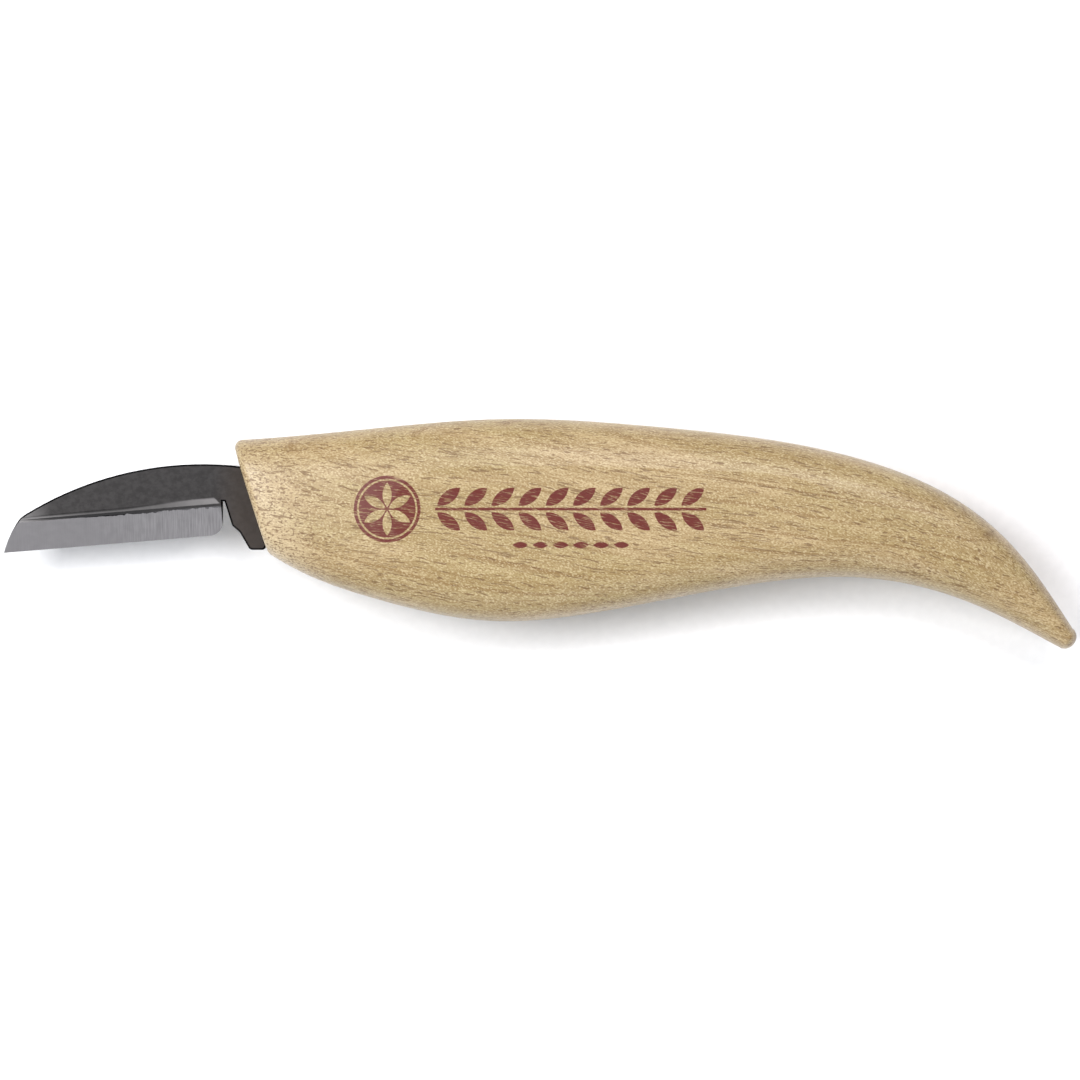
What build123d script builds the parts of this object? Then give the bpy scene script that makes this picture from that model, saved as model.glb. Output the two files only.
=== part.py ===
"""Lino cutter: a short fixed blade glued into a shaped ash handle.

The cutter lies on one cheek, as it does on a bench. X runs from the blade to the tail, Y from the
cutting edge to the back, and Z up from the bench. The origin is on the bench, under the handle's
widest section. All sizes are in millimetres and all angles in degrees.
"""

import os
from math import copysign, cos, radians, sin, tan

from build123d import *

# --- Handle ---------------------------------------------------------------------------------------
handle_length = 135.0  # along X, from the top of the front face to the end of the tail
handle_depth = 32.2  # along Y, belly to back, at the widest section
handle_thickness = 20.0  # along Z, between the two sanded cheeks
front_thickness = 14.5
tail_thickness = 9.0
cheek_sanding = 0.3  # what sanding takes off each crowned cheek to make it flat
front_rake = 17.6  # lean of the front face, its top towards the blade
front_rounding = 1.2  # radius round the rim of the front face
nose_length = 1.6  # rounded end of the tail

# The handle's two outlines, front to tail, as shares of its length and depth from the origin, so
# that they stretch with both. They start at the front face's top and bottom corners.
top_corner = (-0.304, 0.396)
bottom_corner_height = -0.168
back_shape = [
    (-0.178, 0.436),
    (0.015, 0.500),
    (0.202, 0.460),
    (0.391, 0.351),
    (0.486, 0.235),
    (0.581, 0.019),
    (0.652, -0.295),
    (0.691, -0.540),
]
belly_shape = [
    (-0.225, -0.255),
    (-0.130, -0.397),
    (0.000, -0.500),
    (0.130, -0.456),
    (0.296, -0.329),
    (0.438, -0.286),
    (0.533, -0.357),
    (0.628, -0.525),
    (0.676, -0.635),
]

# Squareness of the handle's cross-section: 2 is an ellipse, and more is squarer
front_squareness = 3.2
middle_squareness = 3.6
tail_squareness = 2.3
front_taper = 0.25  # share of the length over which the handle grows to its full section
tail_taper = 0.40  # and over which it shrinks again
handle_sections = 15
section_points = 24
nose_angles = (20, 40, 60, 76)  # where the rounded end has sections

# --- Blade ----------------------------------------------------------------------------------------
blade_thickness = 2.0
blade_reach = 40.75  # tip to front face, along X at the height of the axis
tip_drop = 5.35  # tip below the axis
edge_lean = 4.8  # the cutting edge rises to the heel
spine_height = 8.5  # back of the neck above the axis
spine_radius = 54.0
clip_reach = 38.0  # corner where the spine turns down to the tip, from the front face
clip_height = 0.35  # the same corner above the axis
clip_radius = 18.0
clip_rounding = 3.0
heel_rounding = 2.2
stamped_chamfer = 0.28  # broken corner all round the blank, tang and all

# Grind, the same on both sides
bevel_height = 4.6  # cutting edge to the top of the bevel
valley_width = 0.4  # shallow valley along the top of the bevel
ridge_depth = 0.06  # where valley and bevel meet, below the flat
valley_depth = 0.09
band_width_tip = 0.35  # buffed band that leads from the flat down into the valley
band_width_heel = 0.9
edge_land = 0.06  # thickness left at the cutting edge

# Neck, which holds the blade clear of the handle
neck_width = 4.25  # square to the front face
notch_top = 2.9  # top of the slit between heel and neck, above the axis
notch_width = 0.3  # at its top
knee_depth = 1.0  # where the neck starts to narrow, below the axis
ankle_depth = 2.0
ankle_width = 3.6  # along X from the front face
foot_depth = 4.85  # lower end of the neck, below the axis
foot_width = 2.85  # along X from the front face
knee_rounding = 0.9
ankle_rounding = 1.2
foot_rounding = 0.7

# Tang, hidden in the handle
tang_length = 42.0
tang_root_height = 9.0
tang_end_height = 6.0
tang_centre = 2.2  # above the axis
tang_end_rounding = 1.5
key_hole_diameter = 3.0  # the glue sets through these holes
key_hole_positions = (12.0, 30.0)  # from the front face

# Mortise, which leaves room for glue all round the tang
glue_edge_gap = 0.4  # round the tang's outline
glue_side_gap = 0.25  # on each flat of the tang

# --- Values that follow from these ----------------------------------------------------------------
mid_plane = handle_thickness / 2
rake_slope = tan(radians(front_rake))
edge_slope = tan(radians(edge_lean))
front_x = top_corner[0] * handle_length + rake_slope * top_corner[1] * handle_depth
front_plane = Plane(
    origin=(front_x, 0, mid_plane),
    x_dir=(-rake_slope, 1, 0),
    z_dir=(-1, -rake_slope, 0),
)


def front_face(y, ahead=0.0):
    """The point of the raked front face at height y, or the one this far ahead of it along X."""
    return (front_x - rake_slope * y - ahead, y)


def on_handle(shape):
    """Outline points in millimetres, from shares of the handle's length and depth."""
    return [(x * handle_length, y * handle_depth) for x, y in shape]


def along_handle(share, front, middle, tail):
    """A size that grows from front to middle, holds, and shrinks to tail at the end."""
    if share < front_taper:
        return front + (middle - front) * sin(radians(90 * share / front_taper))
    if share > 1 - tail_taper:
        into_tail = (share - 1 + tail_taper) / tail_taper
        return tail + (middle - tail) * cos(radians(90 * into_tail))
    return middle


def superellipse(half_depth, half_thickness, squareness):
    """Points round a closed section between an ellipse and a rectangle."""
    points = []
    for step in range(section_points):
        turn = radians(360 * (step + 0.5) / section_points)
        deep = copysign(abs(cos(turn)) ** (2 / squareness), cos(turn))
        thick = copysign(abs(sin(turn)) ** (2 / squareness), sin(turn))
        points.append((half_depth * deep, half_thickness * thick))
    return points


def grind_profile(band_width):
    """What grinding takes off one side: height above the cutting edge, then distance from mid-plane."""
    half_land = edge_land / 2
    half_blade = blade_thickness / 2
    valley_top = bevel_height + valley_width
    return [
        (-half_blade, half_land),
        (0, half_land),
        (bevel_height, half_blade - ridge_depth),
        (valley_top, half_blade - valley_depth),
        (valley_top + band_width, half_blade),
        (valley_top + band_width, blade_thickness),
        (-half_blade, blade_thickness),
    ]


def section_sizes(share):
    """Plane, half depth, half thickness and squareness of the handle's section at this share."""
    back = back_outline.line @ share
    belly = belly_outline.line @ share
    across = back - belly
    centre = (back + belly) / 2 + Vector(0, 0, mid_plane)
    plane = Plane(origin=centre, x_dir=across, z_dir=(across.Y, -across.X, 0))
    crowned = handle_thickness + 2 * cheek_sanding
    thickness = along_handle(share, front_thickness, crowned, tail_thickness)
    squareness = along_handle(share, front_squareness, middle_squareness, tail_squareness)
    return plane, across.length / 2, thickness / 2, squareness


# --- Handle ---------------------------------------------------------------------------------------
with BuildLine() as back_outline:
    Spline(*on_handle([top_corner, *back_shape]))

with BuildLine() as belly_outline:
    Spline(front_face(bottom_corner_height * handle_depth), *on_handle(belly_shape))

with BuildSketch() as tang_outline:
    with BuildLine():
        tang_end_x = front_x + tang_length
        Polyline(
            front_face(tang_centre + tang_root_height / 2),
            (tang_end_x, tang_centre + tang_end_height / 2),
            (tang_end_x, tang_centre - tang_end_height / 2),
            front_face(tang_centre - tang_root_height / 2),
            close=True,
        )
    make_face()
    fillet(tang_outline.vertices().group_by(Axis.X)[-1], tang_end_rounding)

with BuildPart() as mortise:
    mortise_thickness = blade_thickness + 2 * glue_side_gap
    with BuildSketch(Plane.XY.offset(mid_plane - mortise_thickness / 2)):
        add(tang_outline.sketch_local)
        offset(amount=glue_edge_gap)
    extrude(amount=mortise_thickness)

with BuildPart() as handle:
    for index in range(handle_sections):
        share = index / (handle_sections - 1)
        section_plane, half_depth, half_thickness, squareness = section_sizes(share)
        with BuildSketch(section_plane):
            with BuildLine():
                Spline(*superellipse(half_depth, half_thickness, squareness), periodic=True)
            make_face()
    loft()
    fillet(handle.faces().sort_by(Axis.X)[0].edges(), front_rounding)

    # Rounded end of the tail, whose sections shrink as those of half an ellipsoid do
    for angle in (0, *nose_angles):
        shrink = cos(radians(angle))
        with BuildSketch(section_plane.offset(nose_length * sin(radians(angle)))):
            with BuildLine():
                outline = superellipse(half_depth * shrink, half_thickness * shrink, squareness)
                Spline(*outline, periodic=True)
            make_face()
    loft()

    # Cheeks sanded flat
    split(bisect_by=Plane.XY, keep=Keep.TOP)
    split(bisect_by=Plane.XY.offset(handle_thickness), keep=Keep.BOTTOM)

    add(mortise.part, mode=Mode.SUBTRACT)

# --- Blade ----------------------------------------------------------------------------------------
with BuildPart() as blade:
    lower_flat = Plane.XY.offset(mid_plane - blade_thickness / 2)
    neck_across = neck_width / cos(radians(front_rake))
    notch_right = front_face(notch_top, neck_across)
    notch_left = (notch_right[0] - notch_width, notch_top)
    tip = (front_x - blade_reach, -tip_drop)
    heel = (notch_left[0], tip[1] + edge_slope * (notch_left[0] - tip[0]))
    clip_corner = (front_x - clip_reach, clip_height)
    knee = front_face(-knee_depth, neck_across)
    ankle = front_face(-ankle_depth, ankle_width)
    foot_corners = (front_face(-foot_depth, foot_width), front_face(-foot_depth))
    with BuildSketch(lower_flat) as blank:
        with BuildLine():
            RadiusArc(clip_corner, front_face(spine_height), spine_radius)
            RadiusArc(tip, clip_corner, clip_radius)
            Polyline(tip, heel, notch_left, notch_right, knee, ankle, *foot_corners)
            Line(foot_corners[1], front_face(spine_height))
        make_face()
        rounded_corners = [
            (clip_corner, clip_rounding),
            (heel, heel_rounding),
            (knee, knee_rounding),
            (ankle, ankle_rounding),
            (foot_corners[0], foot_rounding),
            (foot_corners[1], foot_rounding),
        ]
        for corner, rounding in rounded_corners:
            fillet(blank.vertices().sort_by_distance((*corner, lower_flat.origin.Z))[0], rounding)
        add(tang_outline.sketch_local)
    extrude(amount=blade_thickness)
    flats = blade.faces().group_by(Axis.Z)
    chamfer(flats[0].edges() + flats[-1].edges(), stamped_chamfer)

    # Bevel, valley and buffed band, ground along the cutting edge on both sides
    tip_plane = Plane(
        origin=(*tip, mid_plane),
        x_dir=(-edge_slope, 1, 0),
        z_dir=(1, edge_slope, 0),
    )
    past_heel = (notch_left[0] + notch_width / 2 - tip[0]) / cos(radians(edge_lean))
    for side in (1, -1):
        for distance, band_width in ((-clip_rounding, band_width_tip), (past_heel, band_width_heel)):
            with BuildSketch(tip_plane.offset(distance)):
                with BuildLine():
                    Polyline(*[(up, side * out) for up, out in grind_profile(band_width)], close=True)
                make_face()
        loft(ruled=True, mode=Mode.SUBTRACT)

    with BuildSketch(lower_flat):
        with Locations([(front_x + position, tang_centre) for position in key_hole_positions]):
            Circle(key_hole_diameter / 2)
    extrude(amount=blade_thickness, mode=Mode.SUBTRACT)

# --- Glue -----------------------------------------------------------------------------------------
with BuildPart() as tang_glue:
    add(mortise.part)
    split(bisect_by=front_plane, keep=Keep.BOTTOM)
    add(blade.part, mode=Mode.SUBTRACT)

# --- Export ---------------------------------------------------------------------------------------
os.makedirs("parts", exist_ok=True)
handle.part.label = "handle"
export_step(handle.part, "parts/handle.step")
blade.part.label = "blade"
export_step(blade.part, "parts/blade.step")
tang_glue.part.label = "tang_glue"
export_step(tang_glue.part, "parts/tang_glue.step")
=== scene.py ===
"""Looks of the lino cutter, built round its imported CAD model.

Objects are in metres in the row frame: X from blade to tail, Y from cutting edge to back, Z up. The
shaders work in millimetres of that same frame, so their sizes read like the model's own.
"""

import math

import bpy
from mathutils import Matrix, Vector


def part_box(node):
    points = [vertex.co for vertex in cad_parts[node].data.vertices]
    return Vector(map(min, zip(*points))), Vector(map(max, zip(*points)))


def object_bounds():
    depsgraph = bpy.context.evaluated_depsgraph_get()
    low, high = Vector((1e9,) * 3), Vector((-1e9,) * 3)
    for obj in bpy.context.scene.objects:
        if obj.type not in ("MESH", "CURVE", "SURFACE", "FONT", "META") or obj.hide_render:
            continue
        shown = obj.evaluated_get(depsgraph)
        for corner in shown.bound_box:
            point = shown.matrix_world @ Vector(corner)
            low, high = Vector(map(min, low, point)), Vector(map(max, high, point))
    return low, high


MM = 0.001

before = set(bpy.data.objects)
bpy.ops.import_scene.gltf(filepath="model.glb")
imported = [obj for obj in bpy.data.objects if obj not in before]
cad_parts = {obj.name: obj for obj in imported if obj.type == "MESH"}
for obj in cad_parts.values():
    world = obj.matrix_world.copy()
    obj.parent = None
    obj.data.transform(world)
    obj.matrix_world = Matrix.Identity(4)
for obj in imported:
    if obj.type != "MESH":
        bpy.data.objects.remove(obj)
cad_low, cad_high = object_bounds()
handle_low, handle_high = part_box("handle")
blade_low, blade_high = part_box("blade")


def linear(red, green, blue):
    """A colour for a shader socket, from its 8-bit sRGB values."""
    channels = []
    for value in (red, green, blue):
        share = value / 255
        channels.append(share / 12.92 if share <= 0.04045 else ((share + 0.055) / 1.055) ** 2.4)
    return (*channels, 1.0)


class Shader:
    """A node material on one Principled BSDF, with short calls for the nodes that feed it."""

    def __init__(self, name):
        self.material = bpy.data.materials.new(name)
        self.material.use_nodes = True
        self.nodes = self.material.node_tree.nodes
        self.links = self.material.node_tree.links
        self.surface = self.nodes["Principled BSDF"].inputs
        place = self.nodes.new("ShaderNodeTexCoord").outputs["Object"]
        self.place = self.vector("SCALE", place, scale=1 / MM)
        self.x, self.y, self.z = self.split(self.place)

    def put(self, socket, value):
        """Links a socket to another, or sets it to a number or a colour."""
        if isinstance(value, bpy.types.NodeSocket):
            self.links.new(value, socket)
        else:
            socket.default_value = value

    def math(self, operation, *values):
        node = self.nodes.new("ShaderNodeMath")
        node.operation = operation
        for socket, value in zip(node.inputs, values):
            self.put(socket, value)
        return node.outputs[0]

    def plus(self, first, second):
        return self.math("ADD", first, second)

    def minus(self, first, second):
        return self.math("SUBTRACT", first, second)

    def times(self, first, second):
        return self.math("MULTIPLY", first, second)

    def away(self, first, second=0.0):
        """How far one number is from another, whichever is larger."""
        return self.math("ABSOLUTE", self.minus(first, second))

    def vector(self, operation, *values, scale=None):
        node = self.nodes.new("ShaderNodeVectorMath")
        node.operation = operation
        for socket, value in zip(node.inputs, values):
            self.put(socket, value)
        if scale is not None:
            node.inputs["Scale"].default_value = scale
        return node.outputs["Value" if operation == "LENGTH" else "Vector"]

    def split(self, vector):
        node = self.nodes.new("ShaderNodeSeparateXYZ")
        self.put(node.inputs[0], vector)
        return node.outputs

    def join(self, x, y, z):
        node = self.nodes.new("ShaderNodeCombineXYZ")
        for socket, value in zip(node.inputs, (x, y, z)):
            self.put(socket, value)
        return node.outputs[0]

    def distance(self, x, y, z=0.0):
        return self.vector("LENGTH", self.join(x, y, z))

    def noise(self, place, stretch, detail=2.0, roughness=0.5, seed=0.0):
        """Noise whose features are about this many millimetres long along each axis."""
        scaled = self.vector("DIVIDE", place, stretch)
        shifted = self.vector("ADD", scaled, (seed * 7.1, seed * 3.7, seed * 5.3))
        node = self.nodes.new("ShaderNodeTexNoise")
        self.put(node.inputs["Vector"], shifted)
        node.inputs["Scale"].default_value = 1.0
        node.inputs["Detail"].default_value = detail
        node.inputs["Roughness"].default_value = roughness
        return node.outputs["Fac"]

    def between(self, value, low, high, to_low=0.0, to_high=1.0):
        """value taken smoothly from low..high to to_low..to_high, and held at both ends."""
        node = self.nodes.new("ShaderNodeMapRange")
        node.interpolation_type = "SMOOTHSTEP"
        for name, given in (
            ("Value", value), ("From Min", low), ("From Max", high), ("To Min", to_low), ("To Max", to_high)
        ):
            self.put(node.inputs[name], given)
        return node.outputs[0]

    def mix(self, share, first, second):
        """first towards second, both colours."""
        node = self.nodes.new("ShaderNodeMix")
        node.data_type = "RGBA"
        self.put(node.inputs["Factor"], share)
        self.put(node.inputs[6], first)
        self.put(node.inputs[7], second)
        return node.outputs[2]

    def bump(self, height, distance_mm, strength=1.0):
        """Relief this deep, from a height between 0 and 1, into the surface's normal."""
        node = self.nodes.new("ShaderNodeBump")
        node.inputs["Strength"].default_value = strength
        node.inputs["Distance"].default_value = distance_mm * MM
        self.put(node.inputs["Height"], height)
        self.put(self.surface["Normal"], node.outputs[0])


def lens(shader, along, across, half_length, half_width):
    """Millimetres inside a pointed leaf shape, negative outside it."""
    radius = (half_length**2 + half_width**2) / (2 * half_width)
    shifted = shader.plus(shader.away(across), radius - half_width)
    return shader.minus(radius, shader.distance(along, shifted))


def roundel(shader, along, across):
    """Inside a disc that leaves a thin ring and a six-petalled rosette clear of ink."""
    disc_radius, ring_radius, ring_half_width = 5.3, 4.65, 0.14
    petal_middle, petal_half_length, petal_half_width = 2.25, 1.95, 0.72
    sector = math.radians(60)
    radius = shader.distance(along, across)
    turn = shader.math("ARCTAN2", across, along)
    folded = shader.minus(shader.math("FLOORED_MODULO", turn, sector), sector / 2)
    petal_along = shader.minus(shader.times(radius, shader.math("COSINE", folded)), petal_middle)
    petal_across = shader.times(radius, shader.math("SINE", folded))
    petal = lens(shader, petal_along, petal_across, petal_half_length, petal_half_width)
    ring = shader.minus(ring_half_width, shader.away(radius, ring_radius))
    clear = shader.math("MAXIMUM", petal, ring)
    return shader.math("MINIMUM", shader.minus(disc_radius, radius), shader.times(clear, -1.0))


def sprig(shader, from_start, across, pitch, half_length):
    """Inside a straight stem with a pair of leaning leaves at each pitch."""
    stem_half_width, leaf_offset = 0.22, 1.95
    leaf_half_length, leaf_half_width = 2.3, 0.95
    lean = math.radians(38)
    cell = shader.minus(shader.math("FLOORED_MODULO", from_start, pitch), pitch / 2)
    off_stem = shader.minus(shader.away(across), leaf_offset)
    leaf_along = shader.plus(shader.times(cell, math.cos(lean)), shader.times(off_stem, math.sin(lean)))
    leaf_across = shader.minus(shader.times(off_stem, math.cos(lean)), shader.times(cell, math.sin(lean)))
    leaf = lens(shader, leaf_along, leaf_across, leaf_half_length, leaf_half_width)
    stem = shader.minus(stem_half_width, shader.away(across))
    leafy = shader.math("MAXIMUM", leaf, stem)
    return shader.math("MINIMUM", leafy, shader.minus(half_length, shader.away(from_start, half_length)))


def seeds(shader, from_middle, across):
    """Inside a short row of small lens-shaped seeds."""
    pitch, half_row, seed_half_length, seed_half_width = 3.2, 9.6, 1.25, 0.5
    cell = shader.minus(shader.math("FLOORED_MODULO", from_middle, pitch), pitch / 2)
    seed = lens(shader, cell, across, seed_half_length, seed_half_width)
    return shader.math("MINIMUM", seed, shader.minus(half_row, shader.away(from_middle)))


def printed_ornament(shader):
    """Where the ink is: a roundel, then a leafy sprig with a row of seeds below its middle."""
    above_middle, roundel_share = 3.9, 0.182
    sprig_gap, leaf_pitch, leaf_pairs, seeds_below = 7.6, 4.3, 10, 5.7
    edge_softness, cheek_fade = 0.06, (2.0, 1.0)

    middle_y = (handle_low.y + handle_high.y) / 2 / MM + above_middle
    roundel_x = (handle_low.x + roundel_share * (handle_high.x - handle_low.x)) / MM
    half_sprig = leaf_pitch * leaf_pairs / 2
    across = shader.minus(shader.y, middle_y)
    from_start = shader.minus(shader.x, roundel_x + sprig_gap)

    disc = roundel(shader, shader.minus(shader.x, roundel_x), across)
    leafy = sprig(shader, from_start, across, leaf_pitch, half_sprig)
    row = seeds(shader, shader.minus(from_start, half_sprig), shader.plus(across, seeds_below))
    inside = shader.math("MAXIMUM", shader.math("MAXIMUM", disc, leafy), row)
    edge = shader.between(inside, -edge_softness, edge_softness)
    top = handle_high.z / MM
    upper_cheek = shader.between(shader.z, top - cheek_fade[0], top - cheek_fade[1])
    return shader.times(edge, upper_cheek)


def across_grain(shader):
    """Height across the grain, which falls towards the tail and most of all in the tail itself."""
    tail_start, steady_fall, tail_fall = 45.0, 0.16, 0.0028
    into_tail = shader.math("MAXIMUM", shader.minus(shader.x, tail_start), 0.0)
    fall = shader.times(shader.times(into_tail, into_tail), tail_fall)
    level = shader.plus(shader.y, shader.plus(shader.times(shader.x, steady_fall), fall))
    drift = shader.noise(shader.place, (46.0, 14.0, 14.0), detail=1.0)
    waver = shader.noise(shader.place, (9.0, 2.5, 2.5), detail=2.0, seed=1.0)
    level = shader.plus(level, shader.times(shader.minus(drift, 0.5), 5.0))
    return shader.plus(level, shader.times(shader.minus(waver, 0.5), 0.7))


def growth_rings(shader, level, fibres):
    """Porous early wood and the dark line that ends each ring, round a heart outside the blank."""
    heart_below, heart_behind, ring_width = 24.0, 27.0, 2.1
    from_heart = shader.distance(0.0, shader.plus(level, heart_behind), shader.plus(shader.z, heart_below))
    phase = shader.math("FRACT", shader.math("DIVIDE", from_heart, ring_width))
    early = shader.times(shader.between(phase, 0.0, 0.12), shader.between(phase, 0.35, 0.65, 1.0, 0.0))
    late_line = shader.times(shader.between(phase, 0.74, 0.93), shader.between(phase, 0.96, 1.0, 1.0, 0.0))
    patches = shader.noise(fibres, (34.0, 3.6, 3.6), detail=1.0, seed=11.0)
    return early, shader.times(late_line, shader.between(patches, 0.42, 0.60, 0.12, 0.75))


def ash_pores(shader, fibres, early):
    """Fine tubes along the grain, open as strokes on the cheeks and thicker in early wood."""
    strokes = shader.noise(fibres, (2.0, 0.26, 0.26), detail=0.0, seed=2.0)
    crowd = shader.between(early, 0.0, 1.0, 0.70, 0.66)
    fine_pores = shader.between(strokes, crowd, shader.plus(crowd, 0.04))
    long_strokes = shader.noise(fibres, (6.0, 0.26, 0.26), detail=1.0, seed=3.0)
    clusters = shader.noise(fibres, (16.0, 1.6, 1.6), detail=1.0, seed=9.0)
    long_pores = shader.times(shader.between(long_strokes, 0.60, 0.66), shader.between(clusters, 0.50, 0.60))
    return shader.math("MAXIMUM", fine_pores, long_pores)


def ash_body(shader, fibres, early, late_line, silk):
    """Colour of the wood before its front, pores, ends and print."""
    tan = linear(160, 141, 99)
    deep_tan = linear(134, 109, 68)
    pinkish = linear(173, 151, 113)
    late_brown = linear(122, 93, 54)
    pale = linear(195, 178, 141)
    cloud = shader.noise(fibres, (26.0, 6.0, 6.0), detail=2.0, seed=4.0)
    colour = shader.mix(shader.between(cloud, 0.38, 0.66), tan, pinkish)
    colour = shader.mix(shader.times(early, 0.35), colour, deep_tan)
    colour = shader.mix(late_line, colour, late_brown)
    colour = shader.mix(shader.between(silk, 0.46, 0.66, 0.0, 0.50), colour, deep_tan)
    flecks = shader.noise(fibres, (0.36, 0.20, 0.20), detail=0.0, seed=6.0)
    colour = shader.mix(shader.between(flecks, 0.50, 0.70, 0.0, 0.60), colour, pale)
    specks = shader.noise(fibres, (0.40, 0.20, 0.20), detail=0.0, seed=10.0)
    return shader.mix(shader.between(specks, 0.50, 0.68, 0.0, 0.72), colour, deep_tan)


def front_highlight_and_dots(shader, colour, brown):
    """A painted highlight: a paler front, most of all low down, standing in for the left lamp's light on the
    rounded front; the ends of the fibres show there as dots.
    """
    front_rake, rake_pivot_y = 17.6, 12.7
    highlight_tan = linear(214, 196, 164)
    lean = shader.times(shader.minus(shader.y, rake_pivot_y), math.tan(math.radians(front_rake)))
    from_front = shader.plus(shader.minus(shader.x, handle_low.x / MM), lean)
    near_front = shader.between(from_front, 0.0, 10.0, 0.50, 0.0)
    low_down = shader.between(shader.y, -8.0, 12.0, 1.0, 0.35)
    # Painted highlight: paler near the front, most of all low down
    colour = shader.mix(shader.times(near_front, low_down), colour, highlight_tan)
    dots = shader.noise(shader.place, (0.38, 0.32, 0.32), detail=0.0, seed=12.0)
    dot_share = shader.between(from_front, 3.0, 15.0, 0.60, 0.0)
    return shader.mix(shader.times(shader.between(dots, 0.58, 0.68), dot_share), colour, brown)


def tail_shade_and_marks(shader, colour, brown):
    """Darker where the surface faces the tail: partly end grain that drinks more finish, partly painted shade
    on the side turned away from the left lamp; and a small mineral streak beside it.
    """
    streak_from_end, streak_up, streak_stretch = 14.4, 18.2, 1.5
    facing = shader.split(shader.nodes.new("ShaderNodeNewGeometry").outputs["Normal"])[0]
    # Partly end grain, partly painted shade: darker where the surface faces the tail
    colour = shader.mix(shader.between(facing, 0.55, 1.0, 0.0, 0.30), colour, brown)
    along = shader.minus(shader.x, handle_high.x / MM - streak_from_end)
    across = shader.minus(shader.y, handle_low.y / MM + streak_up)
    from_streak = shader.distance(shader.math("DIVIDE", along, streak_stretch), across)
    return shader.mix(shader.between(from_streak, 0.2, 1.1, 0.45, 0.0), colour, brown)


def ash_wood():
    """Clear-finished ash: growth rings, dark pore strokes, pale flecks and the print."""
    shader = Shader("AshWood")
    brown = linear(92, 60, 30)
    ink = linear(88, 12, 5)
    level = across_grain(shader)
    fibres = shader.join(shader.x, level, shader.z)
    early, late_line = growth_rings(shader, level, fibres)
    pores = ash_pores(shader, fibres, early)
    silk = shader.noise(fibres, (8.0, 0.36, 0.36), detail=1.0, seed=5.0)

    colour = ash_body(shader, fibres, early, late_line, silk)
    colour = front_highlight_and_dots(shader, colour, brown)
    colour = shader.mix(shader.times(pores, 0.60), colour, brown)
    colour = tail_shade_and_marks(shader, colour, brown)

    # Print, which misses the deeper pores
    scuffs = shader.noise(fibres, (2.0, 0.20, 0.20), detail=2.0, seed=7.0)
    kept = shader.between(scuffs, 0.54, 0.66, 1.0, 0.50)
    print_share = shader.times(shader.times(printed_ornament(shader), kept), 0.97)
    shader.put(shader.surface["Base Color"], shader.mix(print_share, colour, ink))

    sheen_field = shader.noise(fibres, (4.0, 0.5, 0.5), detail=2.0, seed=8.0)
    roughness = shader.between(sheen_field, 0.3, 0.7, 0.36, 0.46)
    shader.put(shader.surface["Roughness"], shader.plus(roughness, shader.times(pores, 0.15)))
    shader.surface["Specular IOR Level"].default_value = 0.35
    shader.surface["Coat Weight"].default_value = 0.2
    shader.surface["Coat Roughness"].default_value = 0.30
    shader.bump(shader.minus(shader.times(silk, 0.35), pores), 0.05, 0.5)
    return shader.material


def valley_shade(shader, along, below_top, blade_side):
    """Painted shade in a ragged groove along the top of the bevel, thin at the tip and wider to the heel."""
    waver = shader.noise(shader.place, (0.9, 0.4, 0.4), detail=2.0, seed=3.0)
    ragged = shader.times(shader.minus(waver, 0.5), shader.between(along, 8.0, 30.0, 0.1, 0.9))
    width = shader.plus(shader.between(along, 2.5, 18.0, 0.10, 0.55), ragged)
    under_top = shader.between(below_top, -0.05, 0.05)
    within = shader.between(shader.minus(width, below_top), -0.05, 0.08)
    shade = shader.times(shader.times(under_top, within), blade_side)
    return shader.times(shade, shader.between(along, 2.6, 5.0))


def band_shine(shader, along, above, valley_top, slit):
    """A polished band above the valley, wider to the heel and rounded off at the slit."""
    band_at_tip, band_at_heel = 0.45, 1.1
    width = shader.between(along, 18.0, 32.0, band_at_tip, band_at_heel)
    rounded_end = shader.between(along, slit - 1.0, slit + 0.3, 1.0, 0.0)
    top = shader.plus(valley_top, shader.times(width, rounded_end))
    over_valley = shader.between(above, valley_top - 0.05, valley_top + 0.1)
    return shader.times(over_valley, shader.between(shader.minus(top, above), 0.0, 0.35))


def dark_flats(shader, along, from_tip, mottle):
    """Hardened steel, paler near the tip, with a painted warm reflection of the wooden handle towards the
    neck.
    """
    dark = shader.mix(shader.between(mottle, 0.35, 0.65), linear(42, 40, 40), linear(52, 50, 50))
    dark = shader.mix(shader.between(along, 2.0, 9.0, 0.55, 0.0), dark, linear(140, 138, 138))
    # Painted reflection of the wood near the neck
    return shader.mix(shader.between(from_tip, 33.0, 38.5, 0.0, 0.5), dark, linear(66, 56, 49))


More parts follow.
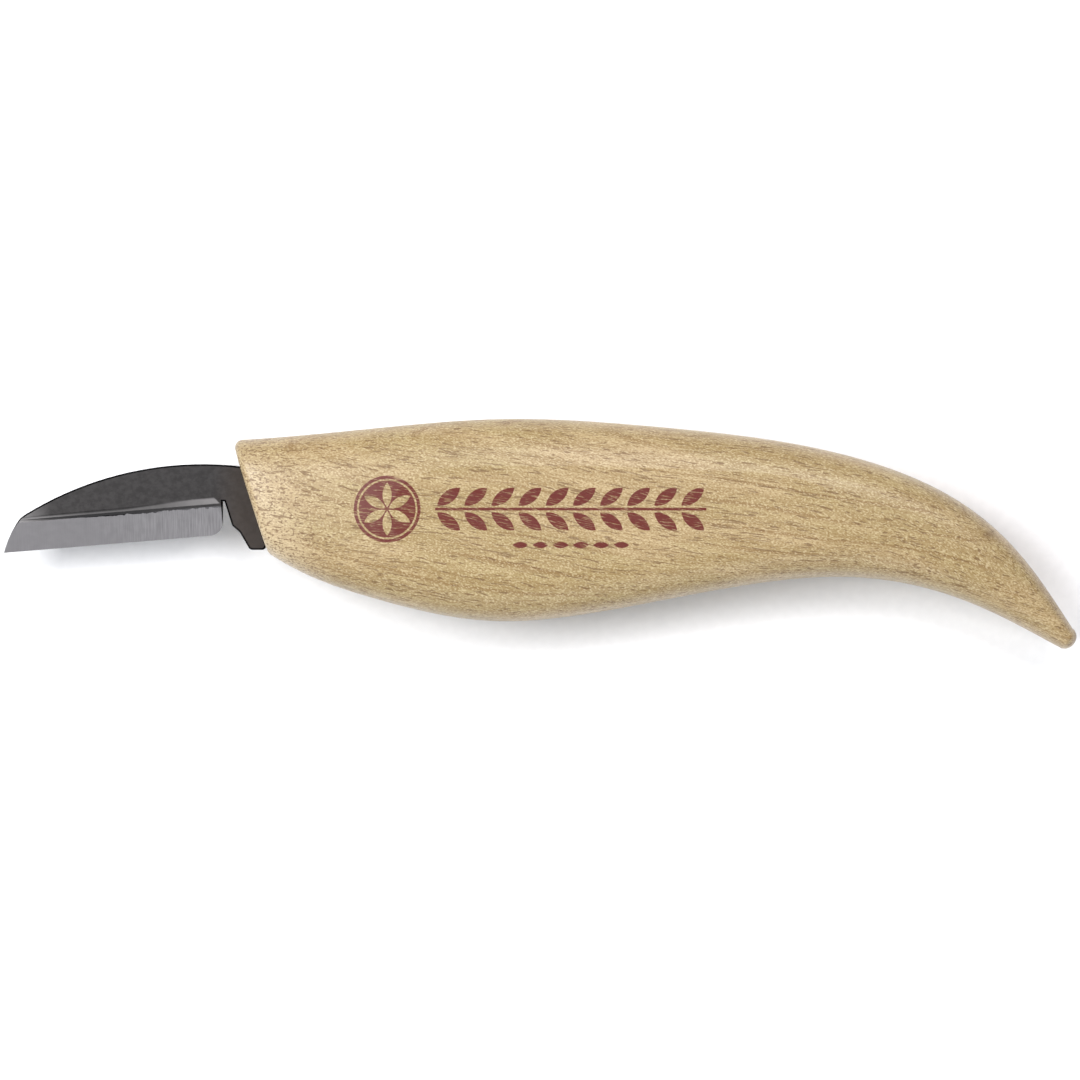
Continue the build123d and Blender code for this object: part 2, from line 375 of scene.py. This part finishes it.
def blade_steel():
    """Dark hardened flats, painted shade on the broken edges, and a bright bevel with painted shade in the
    valley above it.
    """
    shader = Shader("BladeSteel")
    edge_lean = math.radians(4.8)
    bevel_height, valley_width, slit = 4.6, 0.4, 35.2
    valley_top = bevel_height + valley_width

    # Distance along the cutting edge from the tip, and height above it
    from_tip = shader.minus(shader.x, blade_low.x / MM)
    up = shader.minus(shader.y, blade_low.y / MM)
    cosine, sine = math.cos(edge_lean), math.sin(edge_lean)
    along = shader.plus(shader.times(from_tip, cosine), shader.times(up, sine))
    above = shader.minus(shader.times(up, cosine), shader.times(from_tip, sine))

    # The bevel, and the bands above it, end at the slit between blade and neck
    blade_side = shader.between(from_tip, slit - 0.05, slit + 0.05, 1.0, 0.0)
    below_bevel_top = shader.between(above, bevel_height - 0.03, bevel_height + 0.03, 1.0, 0.0)
    bevel = shader.times(below_bevel_top, blade_side)
    valley = valley_shade(shader, along, shader.minus(valley_top, above), blade_side)
    band = shader.times(band_shine(shader, along, above, valley_top, slit), blade_side)
    normal = shader.nodes.new("ShaderNodeNewGeometry").outputs["Normal"]
    shaded_broken_edge = shader.between(shader.away(shader.split(normal)[2]), 0.85, 0.93, 1.0, 0.0)

    grind = shader.noise(shader.place, (0.14, 4.0, 4.0), detail=2.0, seed=1.0)
    scratches = shader.times(shader.between(grind, 0.42, 0.62), shader.between(along, 12.0, 32.0, 0.12, 0.9))
    mottle = shader.noise(shader.place, (1.1, 0.9, 0.9), detail=4.0, roughness=0.65, seed=2.0)
    bright = shader.mix(scratches, linear(153, 150, 152), linear(176, 173, 175))
    colour = shader.mix(bevel, dark_flats(shader, along, from_tip, mottle), bright)
    band_light = shader.between(shader.away(along, 20.0), 5.0, 15.0, 0.35, 0.72)
    colour = shader.mix(shader.times(band, band_light), colour, linear(150, 147, 147))
    # Painted shade in the valley, lighter towards the heel
    valley_fade = shader.between(along, 16.0, 33.0, 1.0, 0.55)
    colour = shader.mix(shader.times(valley, valley_fade), colour, linear(16, 15, 17))
    # Painted shade: the broken edges near black
    colour = shader.mix(shaded_broken_edge, colour, linear(7, 7, 8))

    shader.put(shader.surface["Base Color"], colour)
    shader.put(shader.surface["Metallic"], shader.between(bevel, 0.0, 1.0, 0.6, 1.0))
    shader.put(shader.surface["Specular IOR Level"], shader.between(shaded_broken_edge, 0.0, 1.0, 0.5, 0.1))
    shader.put(shader.surface["Roughness"], shader.between(mottle, 0.3, 0.7, 0.37, 0.40))
    relief = shader.times(shader.times(grind, bevel), 0.5)
    shader.bump(shader.plus(relief, shader.times(mottle, 0.2)), 0.006, 0.5)
    return shader.material


def cured_glue():
    """Amber resin with a few trapped bubbles."""
    shader = Shader("CuredGlue")
    bubbles = shader.noise(shader.place, (0.35, 0.35, 0.35), detail=1.0)
    colour = shader.mix(shader.between(bubbles, 0.55, 0.75), linear(186, 148, 92), linear(214, 186, 138))
    shader.put(shader.surface["Base Color"], colour)
    shader.surface["Roughness"].default_value = 0.25
    shader.bump(bubbles, 0.03, 0.5)
    return shader.material


def white_table():
    """Smooth pale paper."""
    shader = Shader("WhiteTable")
    fibre = shader.noise(shader.place, (1.5, 1.5, 1.5), detail=3.0)
    colour = shader.mix(shader.between(fibre, 0.3, 0.7), linear(241, 241, 242), linear(244, 244, 245))
    shader.put(shader.surface["Base Color"], colour)
    shader.surface["Roughness"].default_value = 0.85
    shader.surface["Specular IOR Level"].default_value = 0.1
    return shader.material


def finish_node(name, material):
    """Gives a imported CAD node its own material."""
    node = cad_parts[name]
    node.data.materials.clear()
    node.data.materials.append(material)


def table_top():
    """A wide flat sheet that the cutter lies on."""
    half = 1.2
    mesh = bpy.data.meshes.new("Table")
    corners = [(-half, -half, 0.0), (half, -half, 0.0), (half, half, 0.0), (-half, half, 0.0)]
    mesh.from_pydata(corners, [], [(0, 1, 2, 3)])
    table = bpy.data.objects.new("Table", mesh)
    bpy.context.scene.collection.objects.link(table)
    mesh.materials.append(white_table())


def soft_box(name, target, offset, size, power, colour):
    """A rectangular studio lamp, this far from a point and aimed at it."""
    lamp = bpy.data.lights.new(name, "AREA")
    lamp.shape = "RECTANGLE"
    lamp.size, lamp.size_y = size
    lamp.energy = power
    lamp.color = colour
    box = bpy.data.objects.new(name, lamp)
    place = target + Vector(offset)
    box.location = place
    box.rotation_euler = (target - place).to_track_quat("-Z", "Y").to_euler()
    bpy.context.scene.collection.objects.link(box)


def studio():
    """Soft boxes left, beyond the back and low in front, in a pale room."""
    world = bpy.data.worlds.new("Room")
    world.use_nodes = True
    background = world.node_tree.nodes["Background"]
    background.inputs["Color"].default_value = (0.92, 0.96, 1.0, 1.0)
    background.inputs["Strength"].default_value = 0.40
    bpy.context.scene.world = world
    centre = (cad_low + cad_high) / 2
    soft_box("LeftLight", centre, (-0.43, 0.12, 0.65), size=(0.38, 0.30), power=5.6, colour=(0.99, 0.99, 1.0))
    soft_box("ShoulderLight", centre, (0.16, 0.32, 0.65), size=(0.5, 0.2), power=2.8, colour=(1.0, 0.96, 0.96))
    soft_box("FrontLight", centre, (0.10, -0.58, 0.40), size=(0.80, 0.35), power=1.6, colour=(0.96, 0.98, 1.0))
    soft_box("BackLight", centre, (0.05, 0.55, 0.43), size=(0.70, 0.13), power=0.5, colour=(1.0, 0.94, 0.95))


def camera():
    """Straight down from far off, framed a little wider than the cutter."""
    lens_mm, sensor_mm = 200.0, 36.0
    margin, low_by = 1.0072, 0.001
    view_width = (cad_high.x - cad_low.x) * margin
    data = bpy.data.cameras.new("Camera")
    data.lens = lens_mm
    data.sensor_width = sensor_mm
    data.clip_end = 10.0
    eye = bpy.data.objects.new("Camera", data)
    middle = (cad_low + cad_high) / 2
    eye.location = (middle.x, middle.y - low_by, middle.z + view_width * lens_mm / sensor_mm)
    bpy.context.scene.collection.objects.link(eye)
    bpy.context.scene.camera = eye


finish_node("handle", ash_wood())
finish_node("blade", blade_steel())
finish_node("tang_glue", cured_glue())
table_top()
studio()
camera()
bpy.context.scene.view_settings.view_transform = "Standard"
